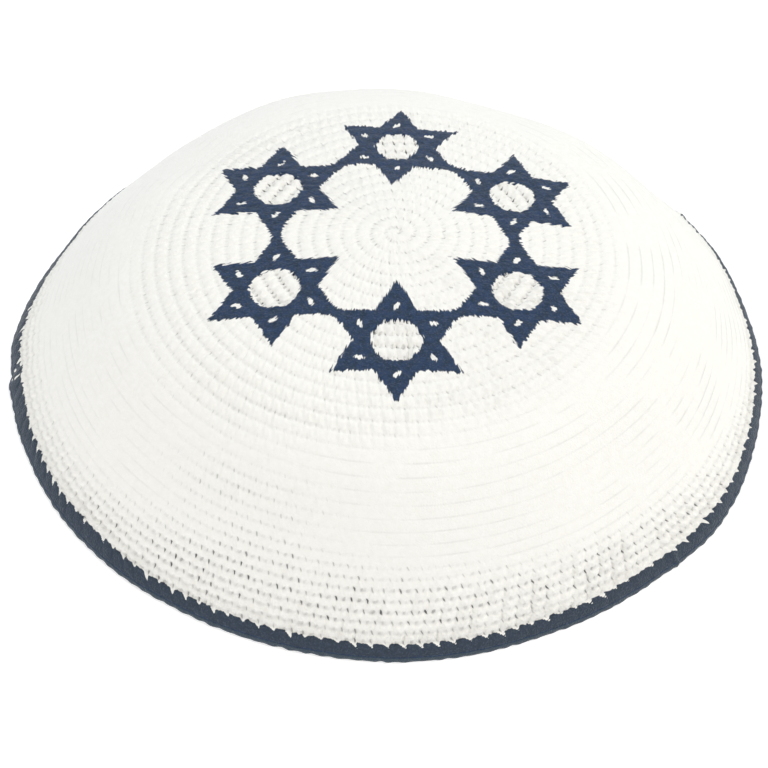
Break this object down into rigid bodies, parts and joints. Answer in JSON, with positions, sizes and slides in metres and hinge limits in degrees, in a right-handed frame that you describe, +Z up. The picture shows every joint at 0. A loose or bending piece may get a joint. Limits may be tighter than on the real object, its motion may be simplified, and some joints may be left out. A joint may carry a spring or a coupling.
{
  "type": "kippah skullcap",
  "caption": "Shallow crocheted skullcap, white with a navy ring of joined six-pointed stars in the crown and a navy edging round the rim.",
  "frame": {"origin": "the floor under the middle of the cap, at the level of the edging's flat underside", "axes": "+Z up through the crown, -Y towards the front of the picture, +X to its right"},
  "size_m": [0.17, 0.17, 0.0387],
  "materials": {
    "white_yarn": "fluffy matte cotton yarn in single crochet",
    "navy_yarn": "matte navy cotton yarn in single crochet",
    "navy_edging_yarn": "matte navy cotton yarn in crochet rounds"
  },
  "bodies": {
    "root": {"crown_centre": "white_yarn", "crown_side": "white_yarn", "star_ring": "navy_yarn", "star_centre_1": "white_yarn", "star_centre_2": "white_yarn", "star_centre_3": "white_yarn", "star_centre_4": "white_yarn", "star_centre_5": "white_yarn", "star_centre_6": "white_yarn", "edging": "navy_edging_yarn"}
  },
  "joints": []
}
